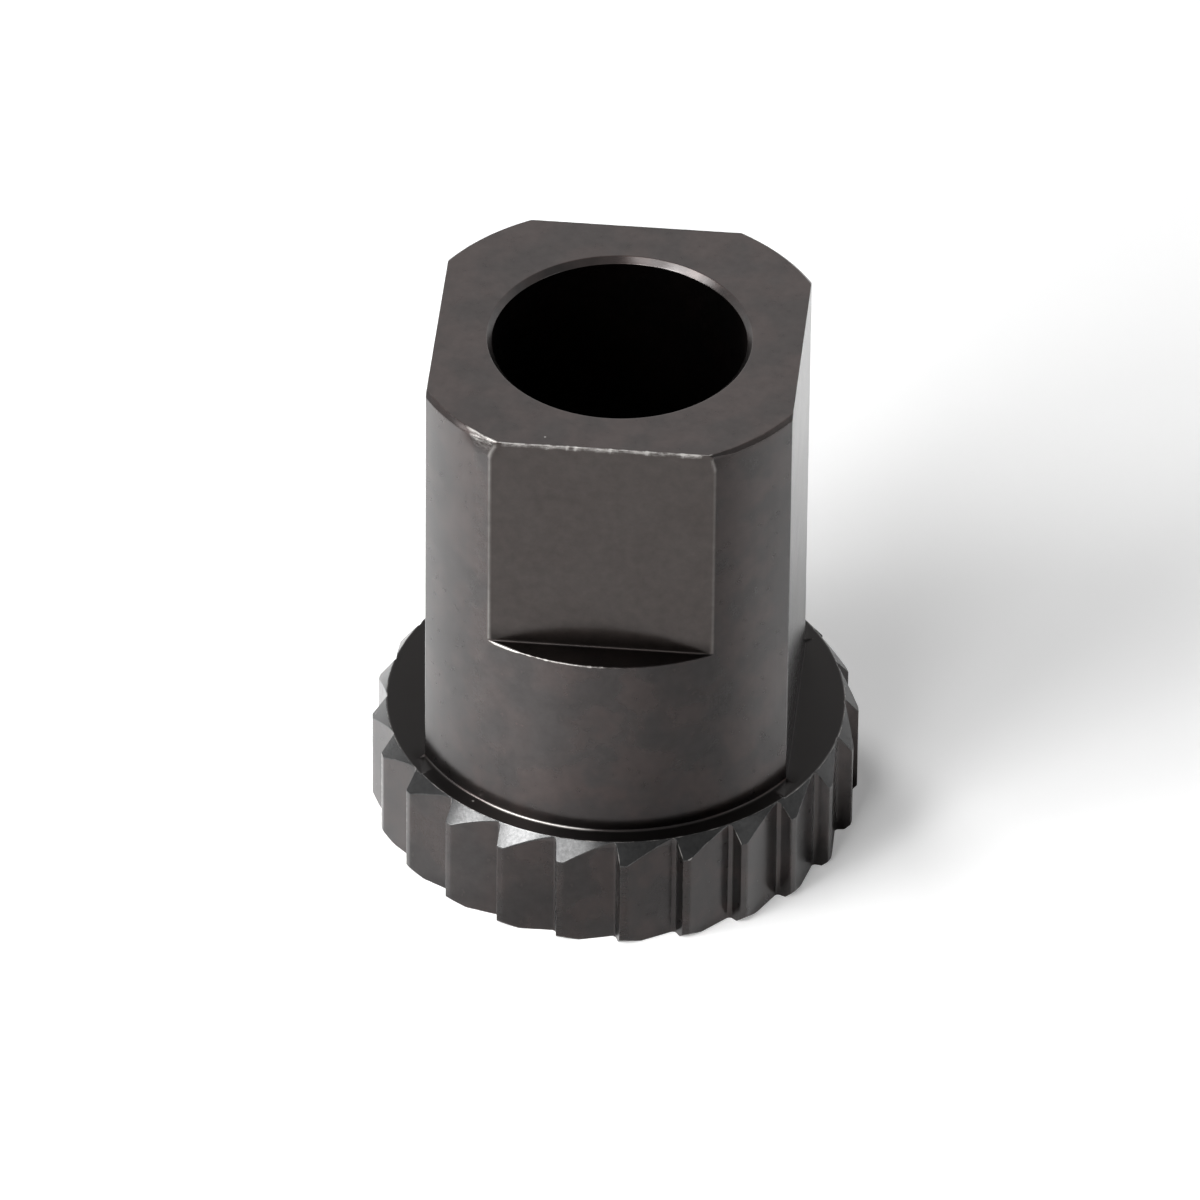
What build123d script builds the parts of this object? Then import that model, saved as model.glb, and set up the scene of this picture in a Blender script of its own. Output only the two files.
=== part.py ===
"""Hub ring nut tool: one turned, milled and toothed piece of black-oxide steel.

It stands on its toothed flange, with the centre of the underside at the origin and +Z up the bore.
One short flat faces -Y and one +Y, and the two flats of full length face +X and -X.
"""

import os
from math import cos, degrees, radians, sin, tan

from build123d import *

# Sizes in millimetres, angles in degrees

# Turned blank
overall_height = 36.7
barrel_diameter = 27.0
barrel_top_chamfer = 0.28
barrel_base_fillet = 0.16
bore_diameter = 16.0
bore_chamfer = 0.36

# Toothed flange
flange_height = 7.7
tip_diameter = 31.0
rim_chamfer_width = 0.93
rim_chamfer_drop = 1.25
underside_chamfer = 0.4

# Ratchet teeth: each gullet has a steep driving side and a long ramp
tooth_count = 24
tooth_depth = 0.96
tooth_land = 0.45
drive_face_lean = 14.0
gullet_fillet = 0.28
first_land_angle = -83.6

# Clamping flats
side_across_flats = 23.0
side_flat_overcut = 0.08
front_across_flats = 23.0
front_flat_length = 15.8

# How far a cutter runs past the metal
cutter_overrun = 1.0

tip_radius = tip_diameter / 2
root_radius = tip_radius - tooth_depth
barrel_radius = barrel_diameter / 2
bore_radius = bore_diameter / 2


def on_circle(radius, angle):
    """Point at this radius and angle, counter-clockwise from +X."""
    return Vector(radius * cos(radians(angle)), radius * sin(radians(angle)))


# One gullet, from the end of a land, down the ramp to the filleted root, and up the driving
# face to the start of the next land. It is closed outside the tip circle.
tooth_pitch = 360 / tooth_count
land_angle = degrees(tooth_land / tip_radius)
lean_angle = degrees(tooth_depth * tan(radians(drive_face_lean)) / root_radius)
ramp_start = on_circle(tip_radius, land_angle)
root = on_circle(root_radius, tooth_pitch - lean_angle)
drive_end = on_circle(tip_radius, tooth_pitch)
ramp_entry = ramp_start + (ramp_start - root).normalized() * cutter_overrun
drive_exit = drive_end + (drive_end - root).normalized() * cutter_overrun
outside = on_circle(tip_radius + 2 * cutter_overrun, tooth_pitch / 2)
with BuildSketch() as gullet:
    with BuildLine():
        FilletPolyline(ramp_entry, root, drive_exit, radius=gullet_fillet)
        Polyline(drive_exit, outside, ramp_entry)
    make_face()


with BuildPart() as ring_nut_tool:
    # Turning: one lathe profile holds the bore and its two chamfers, the flange with a chamfer
    # above and below, and the barrel with its base fillet and top chamfer.
    with BuildSketch(Plane.XZ):
        with BuildLine():
            fillet_end = (barrel_radius, flange_height + barrel_base_fillet)
            fillet_start = (barrel_radius + barrel_base_fillet, flange_height)
            Polyline(
                fillet_end,
                (barrel_radius, overall_height - barrel_top_chamfer),
                (barrel_radius - barrel_top_chamfer, overall_height),
                (bore_radius + bore_chamfer, overall_height),
                (bore_radius, overall_height - bore_chamfer),
                (bore_radius, bore_chamfer),
                (bore_radius + bore_chamfer, 0),
                (tip_radius - underside_chamfer, 0),
                (tip_radius, underside_chamfer),
                (tip_radius, flange_height - rim_chamfer_drop),
                (tip_radius - rim_chamfer_width, flange_height),
                fillet_start,
            )
            RadiusArc(fillet_start, fillet_end, barrel_base_fillet)
        make_face()
    revolve(axis=Axis.Z)

    # Milling: the side flats run down the whole barrel and a hair into the flange's face.
    side_floor = flange_height - side_flat_overcut
    side_cut = tip_radius + cutter_overrun - side_across_flats / 2
    side_middle = (side_across_flats + side_cut) / 2
    with BuildSketch(Plane.XY.offset(side_floor)):
        with Locations((side_middle, 0), (-side_middle, 0)):
            Rectangle(side_cut, tip_diameter + 2 * cutter_overrun)
    extrude(amount=overall_height + cutter_overrun - side_floor, mode=Mode.SUBTRACT)

    # The front and back flats stop part way down at a ledge.
    front_cut = barrel_radius + cutter_overrun - front_across_flats / 2
    front_middle = (front_across_flats + front_cut) / 2
    with BuildSketch(Plane.XY.offset(overall_height - front_flat_length)):
        with Locations((0, front_middle), (0, -front_middle)):
            Rectangle(barrel_diameter + 2 * cutter_overrun, front_cut)
    extrude(amount=front_flat_length + cutter_overrun, mode=Mode.SUBTRACT)

    # Toothing: the gullets run through the flange from below.
    with BuildSketch(Plane.XY.offset(-cutter_overrun)):
        with PolarLocations(0, tooth_count, start_angle=first_land_angle):
            add(gullet.sketch)
    extrude(amount=flange_height + cutter_overrun, mode=Mode.SUBTRACT)

ring_nut_tool.part.label = "ring_nut_tool"

os.makedirs("parts", exist_ok=True)
export_step(ring_nut_tool.part, "parts/ring_nut_tool.step")
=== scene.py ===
import math

import bmesh
import bpy
import numpy as np
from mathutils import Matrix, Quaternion, Vector


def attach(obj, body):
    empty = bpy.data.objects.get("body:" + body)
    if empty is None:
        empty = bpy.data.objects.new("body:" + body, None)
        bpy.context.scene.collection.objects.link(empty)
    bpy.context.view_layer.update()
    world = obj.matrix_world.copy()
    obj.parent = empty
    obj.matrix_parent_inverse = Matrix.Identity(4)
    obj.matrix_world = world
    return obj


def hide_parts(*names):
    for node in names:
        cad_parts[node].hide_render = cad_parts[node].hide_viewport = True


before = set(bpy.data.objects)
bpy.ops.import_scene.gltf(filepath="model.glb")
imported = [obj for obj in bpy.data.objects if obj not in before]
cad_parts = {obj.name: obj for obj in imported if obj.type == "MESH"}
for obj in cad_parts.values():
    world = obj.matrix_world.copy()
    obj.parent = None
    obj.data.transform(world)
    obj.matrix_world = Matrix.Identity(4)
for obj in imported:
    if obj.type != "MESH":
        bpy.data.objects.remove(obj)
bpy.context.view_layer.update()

# The tool's skin
# The real tool is one bar of steel: turned, bored, milled with two long and two short flats, and
# cut with saw teeth round its flange. The skin is one closed net, with columns round the axis and
# rows along the section, and every edge is slightly broken and worn. Sizes are in millimetres.
overall_height = 36.7
barrel_radius = 13.5
barrel_top_chamfer = 0.28
barrel_base_fillet = 0.16
bore_radius = 8.0
bore_chamfer = 0.36
flange_height = 7.7
tip_radius = 15.5
rim_chamfer_width = 0.93
rim_chamfer_drop = 1.25
underside_chamfer = 0.4
tooth_count = 24
tooth_depth = 0.96
tooth_land = 0.45
drive_face_lean = math.radians(14.0)
gullet_fillet = 0.28
first_land_angle = -83.6
side_flat = 11.5
side_flat_overcut = 0.08
side_flat_fillet = 0.12
front_flat = 11.5
ledge_height = 20.9
ledge_fillet = 0.12
land_edge_break = 0.07
ramp_edge_break = 0.5
side_edge_break = 0.03
front_edge_break = 0.035
metres = 0.001


def polar(radius, degrees):
    """A point of the plan, from its radius and its angle."""
    angle = math.radians(degrees)
    return np.array([radius * math.cos(angle), radius * math.sin(angle)])


def round_off(before, corner, after, radius, steps):
    """Points of the arc that replaces a corner of an outline."""
    back = (before - corner) / np.linalg.norm(before - corner)
    on = (after - corner) / np.linalg.norm(after - corner)
    half = math.acos(float(back @ on)) / 2
    middle = corner + (back + on) / np.linalg.norm(back + on) * radius / math.sin(half)
    start = corner + back * radius / math.tan(half) - middle
    end = corner + on * radius / math.tan(half) - middle
    first = math.atan2(start[1], start[0])
    turn = (math.atan2(end[1], end[0]) - first + math.pi) % (2 * math.pi) - math.pi
    angles = first + turn * np.linspace(0, 1, steps)
    return middle + radius * np.stack([np.cos(angles), np.sin(angles)], axis=1)


def between(first, last, steps):
    """Even points inside a straight stretch of an outline."""
    return [first + (last - first) * share for share in np.linspace(0, 1, steps + 2)[1:-1]]


# One tooth in plan: a narrow land, the long ramp, the filleted root and the steep driving face.
pitch = 360 / tooth_count
root_radius = tip_radius - tooth_depth
land_angle = math.degrees(tooth_land / tip_radius)
lean_angle = math.degrees(tooth_depth * math.tan(drive_face_lean) / root_radius)
land_start = polar(tip_radius, 0)
land_end = polar(tip_radius, land_angle)
root = polar(root_radius, pitch - lean_angle)
next_start = polar(tip_radius, pitch)
root_before = polar(root_radius, -lean_angle)
next_end = polar(tip_radius, pitch + land_angle)
start_arc = round_off(root_before, land_start, land_end, land_edge_break, 5)
end_arc = round_off(land_start, land_end, root, ramp_edge_break, 4)
root_arc = round_off(land_end, root, next_start, gullet_fillet, 8)
next_arc = round_off(root, next_start, next_end, land_edge_break, 5)
ramp = between(end_arc[-1], root_arc[0], 7)
drive = between(root_arc[-1], next_arc[0], 4)
tooth = np.vstack([start_arc, end_arc, ramp, root_arc, drive, next_arc[:1]])
tooth_angles = np.degrees(np.arctan2(tooth[:, 1], tooth[:, 0]))
drive_start = tooth_angles[-len(drive) - 2]

# The columns stand at every point of every tooth, closely at the corners of the flats, and evenly
# over the front flat and the worn arc at its left.
rim_start = tip_radius - rim_chamfer_width
flat_corner = math.degrees(math.acos(side_flat / barrel_radius))
step_end = math.degrees(math.acos(side_flat / rim_start))
left_corner = -90 - flat_corner
right_corner = -90 + flat_corner
wanted = [first_land_angle + pitch * k + tooth_angles[:-1] for k in range(tooth_count)]
columns = np.mod(np.concatenate(wanted), 360)
spread = np.array([-1.4, -0.7, -0.4, -0.2, 0.0, 0.2, 0.4, 0.7, 1.4])
extra = [np.arange(left_corner, right_corner, 0.45)]
extra.append(np.arange(left_corner - 26, left_corner, 0.6))
for middle in (0, 90, 180, 270):
    extra += [middle - flat_corner + spread, middle + flat_corner + spread]
for middle in (0, 180):
    extra += [middle - step_end + spread[3:6] / 2, middle + step_end + spread[3:6] / 2]
for angle in np.mod(np.concatenate(extra), 360):
    if np.abs((columns - angle + 180) % 360 - 180).min() > 0.1:
        columns = np.append(columns, angle)
columns = np.sort(columns)
theta = np.radians(columns)

# The radius of the toothed outline in each column
local = tooth_angles[0] + np.mod(columns - first_land_angle - tooth_angles[0], pitch)
index = np.clip(np.searchsorted(tooth_angles, local, side="right") - 1, 0, len(tooth) - 2)
here = tooth[index]
along = tooth[index + 1] - here
ray = np.stack([np.cos(np.radians(local)), np.sin(np.radians(local))], axis=1)
rim = (here[:, 0] * along[:, 1] - here[:, 1] * along[:, 0]) / (
    ray[:, 0] * along[:, 1] - ray[:, 1] * along[:, 0])
on_drive_face = np.clip((local - drive_start) / 0.4, 0, 1)


def soft_min(a, b, width):
    """The smaller of two outlines, with the corner between them rounded off."""
    gap = np.maximum(width - np.abs(a - b), 0) / width
    return np.minimum(a, b) - gap * gap * width / 4


def bump(centre, width):
    """One soft bump in the columns near an angle."""
    away = (columns - centre + 180) % 360 - 180
    return np.exp(-(away / width) ** 2)


def span(first, last, fade):
    """One from the first angle to the last, fading out past both."""
    middle = (first + last) / 2
    away = np.abs((columns - middle + 180) % 360 - 180) - (last - first) / 2
    return np.clip(1 - away / fade, 0, 1)


def uneven(seed, knots):
    """A random line all round the tool, from 0 to 1."""
    values = np.random.default_rng(seed).random(knots)
    return np.interp(columns, np.linspace(0, 360, knots + 1), np.append(values, values[0]))


def nicks(places, widths):
    """Small knocks in the front edge, at distances from its middle."""
    angles = [-90 + math.degrees(math.atan(x / front_flat)) for x in places]
    return np.clip(sum(bump(angle, width) for angle, width in zip(angles, widths)), 0, 1)


# Wear by column, from none at 0 to bare steel near 1. The front edge of the top face, the ledge's
# left end and a few tooth tips are rubbed bright, and the left arc of the top edge is scuffed.
front_edge = span(left_corner + 1, right_corner - 1, 1)
left_arc = span(left_corner - 6, left_corner, 4)
top_nicks = nicks((-3.4, -2.2, -1.7, 0.5, 2.8, 5.0), (0.5, 0.4, 0.6, 0.3, 0.4, 0.5))
ledge_nicks = nicks((-6.0, -4.0, -3.4, -2.9, -0.4, 0.2), (1.4, 0.7, 0.5, 0.5, 0.6, 0.5))
top_wear = 0.12 + 0.12 * uneven(1, 60) + front_edge * (0.26 + 0.2 * uneven(2, 400)) + 0.5 * top_nicks
top_wear = top_wear + left_arc * (0.3 + 0.4 * uneven(3, 300))
top_wear = np.clip(top_wear + 0.6 * bump(left_corner + 0.8, 1.2), 0, 1)
band_wear = left_arc * (0.1 + 0.45 * uneven(4, 260))
ledge_wear = 0.1 + span(left_corner, -93, 12) * (0.16 + 0.3 * uneven(5, 160)) + 0.3 * ledge_nicks
ledge_wear = np.clip(ledge_wear + 0.7 * span(left_corner, left_corner + 6, 5), 0, 1)
rim_wear = 0.12 + 0.3 * uneven(6, 220)
knocked_tips = 1.1 * bump(-84.1, 0.8) + 1.5 * bump(-69.0, 0.8) + 0.8 * bump(-54.1, 0.8)
tip_wear = 0.08 + 0.22 * uneven(7, 180) + on_drive_face * (0.15 * uneven(8, 60) + 0.8 * knocked_tips)
tip_wear = np.clip(tip_wear + 1.2 * bump(-66.9, 0.35) + 1.2 * bump(-158.2, 0.7), 0, 1)
from_land = np.abs((columns - first_land_angle - land_angle / 2 + pitch / 2) % pitch - pitch / 2)
land_wear_and_highlight = np.clip(1 - (from_land - land_angle / 2) / 0.3, 0, 1) * (0.06 + 0.1 * uneven(14, 120))
# Two lands at the left carry a painted highlight on their edges.
land_wear_and_highlight = land_wear_and_highlight + 0.45 * (bump(-158.5, 0.5) + bump(-143.7, 0.4))

side = side_flat / np.maximum(np.abs(np.cos(theta)), 1e-6)
front = front_flat / np.maximum(np.abs(np.sin(theta)), 1e-6)
lower = soft_min(barrel_radius, side, side_edge_break)
radii, heights, worn, rubbed, polish_and_highlight_rows = [], [], [], [], []


def row(radius, height, wear=0.0, dull=0.0, polish_and_highlight=0.0):
    """One row of the net: radius, height, ragged wear, dull scuffing and an even polish, which along
    the foot is a painted highlight.
    """
    radii.append(np.broadcast_to(radius, theta.shape))
    heights.append(np.broadcast_to(height, theta.shape))
    worn.append(np.broadcast_to(wear, theta.shape))
    rubbed.append(np.broadcast_to(dull, theta.shape))
    polish_and_highlight_rows.append(np.broadcast_to(polish_and_highlight, theta.shape))


def arc(radius, height, bend, first, last, steps, wear=0.0, dull=0.0):
    """Rows along an arc of the section, round a centre given by radius and height."""
    for angle in np.radians(np.linspace(first, last, steps)):
        row(radius + bend * np.cos(angle), height + bend * np.sin(angle), wear, dull)


def run(start, end, steps, guard=0.05, wear=0.0):
    """Rows along a straight stretch of the section, the outer two close to its ends."""
    length = np.hypot(end[0] - start[0], end[1] - start[1]) + 1e-9
    gap = np.minimum(guard / length, 0.3)
    for share in np.linspace(0, 1, steps):
        place = gap + (1 - 2 * gap) * share
        row(start[0] + (end[0] - start[0]) * place, start[1] + (end[1] - start[1]) * place, wear)


# Underside, from the bore outwards, and its chamfer
edge = 0.05
cone = tip_radius - underside_chamfer
mouth = bore_radius + bore_chamfer
under_in = np.minimum(cone - math.sqrt(2) * edge + edge, rim - edge)
under_out = np.maximum(rim - edge - cone + math.sqrt(2) * edge, edge)
row(mouth + edge, 0)
run((mouth + edge, 0), (under_in, 0), 5)
arc(under_in, edge, edge, -90, -45, 3, 0.3)
arc(rim - edge, under_out, edge, -45, 0, 3, 0.3)

# The teeth's sides and their sloping upper corners
tip_edge = 0.05 + 0.11 * on_drive_face + 0.02 * uneven(9, 90)
face_edge = 0.045 + 0.02 * uneven(10, 120)
slope = math.atan2(rim_chamfer_width, rim_chamfer_drop)
outer_face = flange_height - side_flat_overcut * (side < rim_start)
reach = rim_start * math.cos(slope) + flange_height * math.sin(slope)
face_corner = (reach - face_edge - (outer_face - face_edge) * math.sin(slope)) / math.cos(slope)
face_corner = np.minimum(face_corner, rim - face_edge)
rim_corner = (reach - tip_edge - (rim - tip_edge) * math.cos(slope)) / math.sin(slope)
rim_corner = np.minimum(rim_corner, outer_face - tip_edge)
slope_low = (rim - tip_edge + tip_edge * math.cos(slope), rim_corner + tip_edge * math.sin(slope))
slope_high = (
    face_corner + face_edge * math.cos(slope),
    outer_face - face_edge + face_edge * math.sin(slope),
)
run((rim, under_out), (rim, rim_corner), 7, 0.05, land_wear_and_highlight)
arc(rim - tip_edge, rim_corner, tip_edge, 0, math.degrees(slope), 4, tip_wear)
run(slope_low, slope_high, 4, 0.04)
arc(face_corner, outer_face - face_edge, face_edge, math.degrees(slope), 90, 4, rim_wear)

# The flange's face, with the shallow step that the side cutter left, and the barrel's foot. The
# foot's fillet carries a painted highlight at the left, and is dull where the long flats end.
step_half = 0.012
painted_foot_highlight = 0.6 * span(-116, -97, 7)
foot_dull = bump(180 + flat_corner, 3) + bump(-flat_corner, 3)
on_flat = side < barrel_radius
has_step = (side >= barrel_radius) & (side < face_corner)
foot_base = flange_height - side_flat_overcut * on_flat
corner_share = np.clip((barrel_radius - side) / 0.2, 0.1, 1)
foot_fillet = np.where(on_flat, side_flat_fillet * corner_share, barrel_base_fillet)
cut = np.clip(1 - (side - step_half - lower) / barrel_base_fillet, 0, 1)
foot_start = np.where(has_step, np.arcsin(cut), 0)
foot = lower + foot_fillet * (1 - np.sin(foot_start))
foot_low = foot_base + foot_fillet * (1 - np.cos(foot_start))
step = np.clip(side, foot + step_half, face_corner - 0.02)
step = np.where(has_step, step, (foot + face_corner) / 2)
row(face_corner - 0.015, outer_face)
row((step + face_corner) / 2, outer_face)
row(step + step_half, outer_face, 0, foot_dull)
row(step - step_half, np.where(has_step, foot_low, outer_face), 0, foot_dull)
for share in np.linspace(0, 1, 9):
    angle = foot_start + (math.pi / 2 - foot_start) * share
    polish_and_highlight = painted_foot_highlight * (1 - abs(2 * share - 1)) ** 0.5
    foot_radius = lower + foot_fillet * (1 - np.sin(angle))
    row(foot_radius, foot_base + foot_fillet * (1 - np.cos(angle)), 0, foot_dull, polish_and_highlight)

# The lower barrel and the ledges under the short flats
shelf = lower - soft_min(lower, front, side_edge_break)
ledge_wear = ledge_wear * np.clip(shelf / 0.05, 0, 1)
shelf_edge = np.minimum(0.035 + 0.08 * ledge_wear, 0.4 * shelf)
shelf_fillet = np.minimum(ledge_fillet, 0.4 * shelf)
upper = lower - shelf
run((lower, flange_height + barrel_base_fillet), (lower, ledge_height - shelf_edge), 8)
arc(lower - shelf_edge, ledge_height - shelf_edge, shelf_edge, 0, 90, 5, ledge_wear)
run((lower - shelf_edge, ledge_height), (upper + shelf_fillet, ledge_height), 3)
arc(upper + shelf_fillet, ledge_height + shelf_fillet, shelf_fillet, -90, -180, 5)

# The upper barrel. The upright edges of its front flat are polished, the left one more, and their
# top corners are knocked round.
left_knock, right_knock, knock_depth = 0.3, 0.18, 1.2
knocked = left_knock * span(left_corner, left_corner, 11) ** 1.6
knocked = knocked + right_knock * span(right_corner, right_corner, 6)
left_line, right_line = 0.62 * bump(left_corner, 0.3), 0.14 * bump(right_corner, 0.3)


def barrel_at(depth):
    """The upper barrel's radius at a depth below its top face."""
    rounder = knocked * max(1 - depth / knock_depth, 0) ** 1.5
    turned = soft_min(barrel_radius - rounder, side, side_edge_break)
    return soft_min(turned, front, front_edge_break)


for depth in (15.6, 15.3, 14.9, 14.2, 13.0, 11.5, 10.0, 8.5, 7.0, 5.5, 4.2, 3.2, 2.4, 1.8, 1.4):
    strength = 1 if depth > 12 else 0.62 if depth > 4 else 0.8
    row(barrel_at(depth), overall_height - depth, 0, 0, left_line * strength + right_line)
for depth in (1.15, 0.95, 0.78, 0.64, 0.52, 0.43):
    fading = max(1 - (depth - 0.3) / 0.9, 0) ** 0.7
    share = max(1 - depth / knock_depth, 0) ** 1.5
    left_now = -90 - math.degrees(math.acos(front_flat / (barrel_radius - left_knock * share)))
    right_now = -90 + math.degrees(math.acos(front_flat / (barrel_radius - right_knock * share)))
    curve = 0.6 * bump(left_now, 0.45) + 0.34 * bump(right_now, 0.32)
    row(barrel_at(depth), overall_height - depth, band_wear * fading * 0.8, left_arc * fading, curve)

# The chamfer round the top, a little narrower away from its worn left arc
top_chamfer = barrel_top_chamfer * (0.84 + 0.16 * span(left_corner - 27, left_corner, 20))
top_edge = 0.035 + 0.02 * uneven(12, 200) + 0.03 * top_nicks + 0.03 * left_arc * uneven(13, 200)
worn_out = barrel_at(0.3)
top_in = barrel_radius - top_chamfer - (math.sqrt(2) - 1) * top_edge
top_in = np.minimum(top_in, worn_out - top_edge)
top_out = barrel_radius - top_chamfer + overall_height - math.sqrt(2) * top_edge
top_out = np.minimum(top_out - (worn_out - top_edge), overall_height - top_edge)
low_wear = np.maximum(band_wear, top_wear * span(left_corner + 3.5, right_corner - 3.5, 1))
arc(worn_out - top_edge, top_out, top_edge, 0, 45, 3, low_wear, left_arc)
middle_out = worn_out - top_edge + top_edge * math.sqrt(0.5)
middle_high = top_out + top_edge * math.sqrt(0.5)
middle_in = top_in + top_edge * math.sqrt(0.5)
middle_top = overall_height - top_edge + top_edge * math.sqrt(0.5)
row((middle_out + middle_in) / 2, (middle_high + middle_top) / 2, low_wear, left_arc)
arc(top_in, overall_height - top_edge, top_edge, 45, 90, 3, top_wear, left_arc)

# The top face, the bore with a small chamfer at both mouths, and back to the underside
mouth_edge = 0.04
mouth_tilt = mouth_edge * math.tan(math.pi / 8)
chamfer_end = overall_height - bore_chamfer
inset = 0.02
lip = 0.008
run((top_in, overall_height), (mouth + mouth_edge, overall_height), 8)
arc(mouth + mouth_tilt, overall_height - mouth_edge, mouth_edge, 90, 135, 3, 0.06)
run((mouth - inset, overall_height - inset), (bore_radius + inset, chamfer_end + inset), 2, 0.03)
row(bore_radius + lip, chamfer_end - 0.002, 0.2)
row(bore_radius, chamfer_end - 0.03)
run((bore_radius, chamfer_end - 0.03), (bore_radius, bore_chamfer + 0.03), 8)
row(bore_radius, bore_chamfer + 0.03)
row(bore_radius + lip, bore_chamfer + 0.002, 0.2)
run((bore_radius + inset, bore_chamfer - inset), (mouth - inset, inset), 2, 0.03)
row(mouth + lip / 2, lip / 2, 0.2)

radii, heights = np.array(radii), np.array(heights)
points = np.stack([radii * np.cos(theta), radii * np.sin(theta), heights], axis=-1) * metres
ids = np.arange(radii.size).reshape(radii.shape)
beside = np.roll(ids, -1, axis=1)
quads = np.stack([ids, beside, np.roll(beside, -1, axis=0), np.roll(ids, -1, axis=0)], axis=-1)
mesh = bpy.data.meshes.new("blackened_steel_tool")
mesh.from_pydata(points.reshape(-1, 3).tolist(), [], quads.reshape(-1, 4).tolist())
for name, amounts in (("wear", worn), ("dull", rubbed), ("polish_and_highlight", polish_and_highlight_rows)):
    mesh.attributes.new(name, "FLOAT", "POINT")
    mesh.attributes[name].data.foreach_set("value", np.array(amounts).ravel().astype(np.float32))
net = bmesh.new()
net.from_mesh(mesh)
bmesh.ops.remove_doubles(net, verts=net.verts, dist=1e-6)
bmesh.ops.dissolve_degenerate(net, edges=net.edges, dist=1e-7)
bmesh.ops.recalc_face_normals(net, faces=net.faces)
net.to_mesh(mesh)
net.free()
mesh.shade_smooth()
tool = bpy.data.objects.new("blackened_steel_tool", mesh)
bpy.context.scene.collection.objects.link(tool)
flat_faces = tool.modifiers.new("flat faces stay flat", "WEIGHTED_NORMAL")
flat_faces.mode = "FACE_AREA"
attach(tool, "root")
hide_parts("ring_nut_tool")

# Black oxide finish
# The steel was blackened in a hot salt bath and oiled. The thin film is dark and satin, a little
# cloudy between warm brown and neutral grey, and bare steel shows where edges were knocked.
steel = bpy.data.materials.new("black_oxide_steel")
steel.use_nodes = True
mesh.materials.append(steel)


class Shade:
    """A socket of a material. Sums with it turn into shader nodes."""

    tree = steel.node_tree

    def __init__(self, socket):
        self.socket = socket

    @classmethod
    def node(cls, kind, settings, values, output=0):
        node = cls.tree.nodes.new(kind)
        for name, setting in settings.items():
            setattr(node, name, setting)
        for name, value in values.items():
            if isinstance(value, Shade):
                cls.tree.links.new(value.socket, node.inputs[name])
            else:
                node.inputs[name].default_value = value
        return cls(node.outputs[output])

    @classmethod
    def sum(cls, operation, a, b=0.0):
        return cls.node("ShaderNodeMath", {"operation": operation}, {0: a, 1: b})

    def __add__(self, other):
        return self.sum("ADD", self, other)

    def __radd__(self, other):
        return self.sum("ADD", other, self)

    def __sub__(self, other):
        return self.sum("SUBTRACT", self, other)

    def __rsub__(self, other):
        return self.sum("SUBTRACT", other, self)

    def __mul__(self, other):
        return self.sum("MULTIPLY", self, other)

    def __rmul__(self, other):
        return self.sum("MULTIPLY", other, self)

    def __abs__(self):
        return self.sum("ABSOLUTE", self)

    def vector(self, operation, other=(0, 0, 0), output="Vector"):
        """Vector maths on this and another vector."""
        return self.node("ShaderNodeVectorMath", {"operation": operation}, {0: self, 1: other}, output)

    def scaled(self, factors):
        """This vector, times a factor for each direction."""
        return self.vector("MULTIPLY", factors)

    def dimmed(self, share):
        """This colour, times one number."""
        return self.node("ShaderNodeVectorMath", {"operation": "SCALE"}, {0: self, "Scale": share})

    def along(self, direction):
        return self.node("ShaderNodeSeparateXYZ", {}, {"Vector": self}, direction)

    def fade(self, low, high):
        """Nought below low, one above high, smooth between."""
        return self.node(
            "ShaderNodeMapRange", {"interpolation_type": "SMOOTHSTEP"},
            {"Value": self, "From Min": low, "From Max": high},
        )

    def noise(self, scale, detail, roughness=0.5):
        return self.node(
            "ShaderNodeTexNoise", {},
            {"Vector": self, "Scale": scale, "Detail": detail, "Roughness": roughness},
        )

    def blend(self, first, second):
        """First where this is nought, second where it is one."""
        return self.node(
            "ShaderNodeMix", {"data_type": "RGBA"}, {0: self, 6: first, 7: second}, 2,
        )

    def feed(self, name):
        self.tree.links.new(self.socket, self.tree.nodes["Principled BSDF"].inputs[name])


finish = Shade.tree.nodes["Principled BSDF"]
finish.inputs["Metallic"].default_value = 1.0
finish.inputs["Coat IOR"].default_value = 1.6
finish.inputs["Coat Roughness"].default_value = 0.21

# Places on the tool in millimetres
place = Shade.node("ShaderNodeTexCoord", {}, {}, "Object").scaled((1000, 1000, 1000))
outwards = place.scaled((1, 1, 0))
radius = outwards.vector("LENGTH", output="Value")
height = place.along("Z")
to_side = abs(place.along("X"))
to_front = abs(place.along("Y"))

# The parts of its surface. The short flats are rougher than the turned barrel and the long ones
# smoother, painted shade darkens their ledges' inner corners, the flange's face is roughest and
# blackest, and the sloping tops of the teeth have a coarse grain.
above_ledge = height.fade(ledge_height - 0.05, ledge_height + 0.05)
short_flat = (to_front * above_ledge).fade(front_flat - 0.06, front_flat - 0.01)
long_flat = to_side.fade(side_flat - 0.06, side_flat - 0.01) * height.fade(7.7, 7.75)
# Painted shade in the inner corners of the ledges under the short flats.
painted_ledge_shade = to_front.fade(front_flat - 0.08, front_flat - 0.03)
painted_ledge_shade = painted_ledge_shade * height.fade(ledge_height - 0.04, ledge_height - 0.01)
painted_ledge_shade = painted_ledge_shade * (1 - height.fade(ledge_height + 0.1, ledge_height + 1.3))
painted_ledge_shade = painted_ledge_shade * (1 - radius.fade(barrel_radius - 0.14, barrel_radius - 0.06))
top_face = height.fade(overall_height - 0.08, overall_height - 0.02)
flange_face = height.fade(7.5, 7.56) * (1 - height.fade(7.72, 7.75))
flange_face = flange_face * (1 - radius.fade(rim_start - 0.05, rim_start + 0.01))
slope_line = radius * math.cos(slope) + height * math.sin(slope)
tooth_top = slope_line.fade(reach - 0.06, reach - 0.03) * (1 - height.fade(7.7, 7.74))

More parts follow.
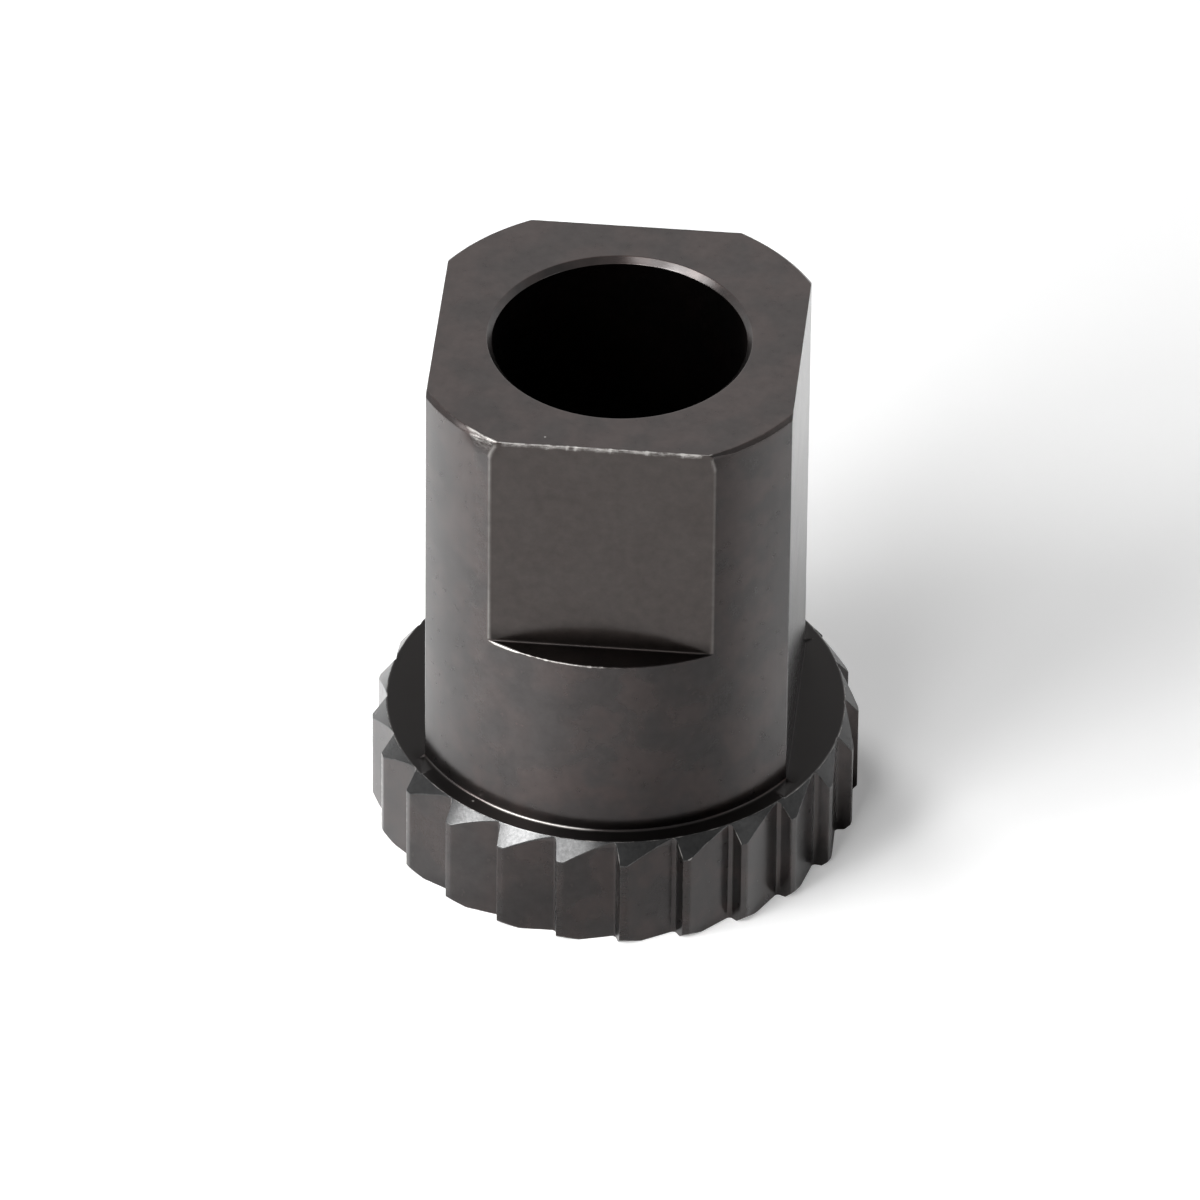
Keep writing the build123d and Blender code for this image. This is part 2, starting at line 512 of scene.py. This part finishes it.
clouds = place.noise(0.33, 3).fade(0.4, 0.62)
mottle = place.noise(1.4, 5, 0.62)
grain = place.noise(8.0, 3, 0.6)
speckle = place.noise(4.5, 2, 0.7).fade(0.3, 0.7)
streaks = place.scaled((5, 5, 0.12)).noise(1.0, 3, 0.6)
rings = Shade.node("ShaderNodeCombineXYZ", {}, {"X": radius * 9}).noise(1.0, 2)
scratches = place.scaled((1.1, 1.1, 7)).noise(1.0, 4, 0.7)

# Painted light and shade in the film round the barrel: darker right of the front and lighter
# at its left, for the floor it mirrors, and painted shade near the foot and on the front ramps.
facing = outwards.vector("NORMALIZE")


def round_about(degrees, low, high):
    """One on the side that faces this angle of the plan, fading between two cosines from it."""
    return facing.vector("DOT_PRODUCT", (*polar(1, degrees), 0), "Value").fade(low, high)


above_flange = height.fade(flange_height - 0.1, flange_height + 0.1)
turned_side = (1 - short_flat) * (1 - height.fade(overall_height - 0.4, overall_height - 0.2))
painted_shade_right = round_about(-75, 0.84, 0.98) * turned_side * above_flange
painted_light_left = round_about(-111.1, 0.76, 0.97) * turned_side * above_flange
painted_shade_front_ramps = round_about(-90, 0.8, 0.99) * (1 - height.fade(7.2, 7.4)) * (1 - tooth_top)
painted_shade_foot = (1 - height.fade(8.5, 15.0)) * above_flange

# Bare steel, from the wear of each edge and from two bright flecks, one on the flange's face and
# one on the top face
wear = Shade.node("ShaderNodeAttribute", {"attribute_name": "wear"}, {}, "Fac")
dull = Shade.node("ShaderNodeAttribute", {"attribute_name": "dull"}, {}, "Fac")
polish_and_highlight = Shade.node("ShaderNodeAttribute", {"attribute_name": "polish_and_highlight"}, {}, "Fac")
for fleck in ((-8.0, -11.36, flange_height), (-3.66, -10.66, overall_height)):
    wear = wear + 0.7 * (1 - place.vector("DISTANCE", fleck, "Value").fade(0.04, 0.12))
bare = (wear * (1.5 * place.noise(5.0, 3, 0.7) + 3.2 * scratches - 1.4)).fade(0.1, 0.85)
# The polish adds bare steel on the upright edges and a painted highlight along the foot's fillet.
bare = Shade.sum("MAXIMUM", bare, polish_and_highlight * (0.5 + mottle))

brown = (0.031, 0.0155, 0.0125, 1)
milled_brown = (0.036, 0.028, 0.025, 1)
grey = (0.009, 0.0092, 0.0095, 1)
black = (0.019, 0.017, 0.0165, 1)
bare_steel = (0.38, 0.365, 0.35, 1)
warm = (0.3 + clouds * 0.4 + 0.3 * top_face) * (1 - tooth_top)
film = short_flat.blend(warm.blend(grey, brown), milled_brown)
film = film.dimmed(0.6 + 0.62 * mottle + 0.18 * grain)
film = flange_face.blend(film, black)
# Painted shade: ledge corners, front ramps, right of front. Painted light: barrel's left.
film = film.dimmed(
    (1 - 0.5 * painted_ledge_shade) * (1 - 0.2 * painted_shade_front_ramps) * (1 + 0.35 * painted_light_left - 0.3 * painted_shade_right))
bare.blend(film, bare_steel).feed("Base Color")

rough = 0.24 + 0.1 * mottle + 0.06 * short_flat + 0.16 * flange_face + 0.15 * bare
rough = rough + 0.08 * dull - 0.06 * long_flat
rough.feed("Roughness")

# The coat carries the same painted shade and light, and painted shade near the barrel's foot.
oil = 0.64 + 0.42 * mottle + 0.1 * grain + 0.08 * clouds - tooth_top * (0.17 - speckle * 0.34)
oil = oil * (1 - 0.9 * flange_face) * (1 - 0.4 * short_flat) * (1 - 0.9 * bare) * (1 - 0.8 * dull)
# The long flats' extra coat is a painted sheen that brightens their grazing reflection.
oil = oil * (1 - 0.34 * painted_shade_right) * (1 + 0.22 * painted_light_left) * (1 + 0.3 * long_flat)
oil = oil * (1 - 0.5 * painted_ledge_shade) * (1 - 0.3 * painted_shade_front_ramps) * (1 - 0.16 * painted_shade_foot)
oil.feed("Coat Weight")

tooling = (grain * 0.5 + streaks * 0.35 + rings * 0.25 * top_face) * (1 - long_flat)
Shade.node(
    "ShaderNodeBump", {}, {"Height": tooling, "Strength": 1.0, "Distance": 0.0000022},
).feed("Normal")

# Floor
# A sheet of white paper under and behind the tool, a hair below it. It is lifted to white where
# the camera sees it and keeps the tool's shadow.
floor_reach = 0.5
floor_drop = 0.00001
floor_corners = [(-1, -1), (1, -1), (1, 1), (-1, 1)]
floor_points = [(x * floor_reach, y * floor_reach, 0) for x, y in floor_corners]
floor_mesh = bpy.data.meshes.new("floor")
floor_mesh.from_pydata(floor_points, [], [(0, 1, 2, 3)])
floor = bpy.data.objects.new("floor", floor_mesh)
floor.location.z = -floor_drop
bpy.context.scene.collection.objects.link(floor)
paper = bpy.data.materials.new("white_paper")
paper.use_nodes = True
floor_mesh.materials.append(paper)
paper_shader = paper.node_tree.nodes["Principled BSDF"]
paper_shader.inputs["Base Color"].default_value = (0.9, 0.9, 0.9, 1)
paper_shader.inputs["Roughness"].default_value = 0.9
paper_shader.inputs["Specular IOR Level"].default_value = 0.1
paper_shader.inputs["Emission Strength"].default_value = 1.0
Shade.tree = paper.node_tree
seen = Shade.node("ShaderNodeLightPath", {}, {}, "Is Camera Ray")
mirrored = Shade.node("ShaderNodeLightPath", {}, {}, "Is Glossy Ray")
through = Shade.node("ShaderNodeLightPath", {}, {}, "Is Transmission Ray")
((seen + through) * 0.26 + mirrored * 0.02).feed("Emission Color")

# Camera
# The photograph was taken from in front and well above, from far off with a long lens, so the
# tool's upright edges stay almost parallel.
view_azimuth = math.radians(5.06)
view_elevation = math.radians(38.48)
view_roll = math.radians(0.57)
view_distance = 1.126
view_point = Vector((-0.00096, -0.00126, 0.01653))
focal_pixels = 17778
photo_pixels = 1200
sensor_width = 36.0


def direction(bearing, lift):
    """From the tool, by a bearing from its front and a lift over the floor."""
    return Vector((
        math.sin(bearing) * math.cos(lift),
        -math.cos(bearing) * math.cos(lift),
        math.sin(lift),
    ))


towards_camera = direction(view_azimuth, view_elevation)
camera_data = bpy.data.cameras.new("camera")
camera_data.sensor_width = sensor_width
camera_data.lens = focal_pixels / photo_pixels * sensor_width
camera_data.clip_end = 10.0
camera = bpy.data.objects.new("camera", camera_data)
camera.location = view_point + towards_camera * view_distance
camera.rotation_mode = "QUATERNION"
camera.rotation_quaternion = (
    Quaternion(towards_camera, view_roll) @ towards_camera.to_track_quat("Z", "Y")
)
bpy.context.scene.collection.objects.link(camera)
bpy.context.scene.camera = camera

# Room light
# A white wall stands behind the tool and shows in its top face. The room in front of it is dim,
# and both show only in the metal. The background itself is white.
wall_reflection = 0.9
dim_room = 0.41
room = bpy.data.worlds.new("room")
room.use_nodes = True
bpy.context.scene.world = room
background = room.node_tree.nodes["Background"]
background.inputs["Color"].default_value = (1, 1, 1, 1)
Shade.tree = room.node_tree
towards_back = (-math.sin(view_azimuth), math.cos(view_azimuth), 0)
look = Shade.node("ShaderNodeTexCoord", {}, {}, "Generated")
backward = look.vector("DOT_PRODUCT", towards_back, "Value").fade(-0.3, 0.5)
seen = Shade.node("ShaderNodeLightPath", {}, {}, "Is Camera Ray")
mirrored = Shade.node("ShaderNodeLightPath", {}, {}, "Is Glossy Ray")
through = Shade.node("ShaderNodeLightPath", {}, {}, "Is Transmission Ray")
strength = seen + through + mirrored * (dim_room + (wall_reflection - dim_room) * backward)
room.node_tree.links.new(strength.socket, background.inputs["Strength"])

# Lamps
# Round soft lamps: bearing from the camera and height over the floor in degrees, width in metres,
# and brightness. The last one stands behind, lights the paper and isn't mirrored in the tool.
lamp_distance = 0.36
lamp_aim = Vector((0, 0, 0.018))
lamps = {
    "far_left": (-65, 15, 0.12, 14.0),
    "side_left": (-80, 37, 0.1, 5.5),
    "front_left": (-45, 32, 0.12, 18.6),
    "high_left": (-62, 44, 0.15, 8.6),
    "front": (-20, 25, 0.12, 9.2),
    "high_front": (-28, 53, 0.13, 4.2),
    "right": (60, 15, 0.12, 0.7),
    "paper_light": (-145, 28, 0.16, 11.5),
}
for name, (azimuth, elevation, width, radiance) in lamps.items():
    towards_lamp = direction(view_azimuth + math.radians(azimuth), math.radians(elevation))
    lamp_data = bpy.data.lights.new(name, "AREA")
    lamp_data.shape = "DISK"
    lamp_data.size = width
    lamp_data.energy = radiance * (math.pi * width / 2) ** 2
    lamp = bpy.data.objects.new(name, lamp_data)
    lamp.location = towards_lamp * lamp_distance + lamp_aim
    lamp.visible_glossy = name != "paper_light"
    lamp.rotation_mode = "QUATERNION"
    lamp.rotation_quaternion = towards_lamp.to_track_quat("Z", "Y")
    bpy.context.scene.collection.objects.link(lamp)

bpy.context.scene.view_settings.view_transform = "Standard"
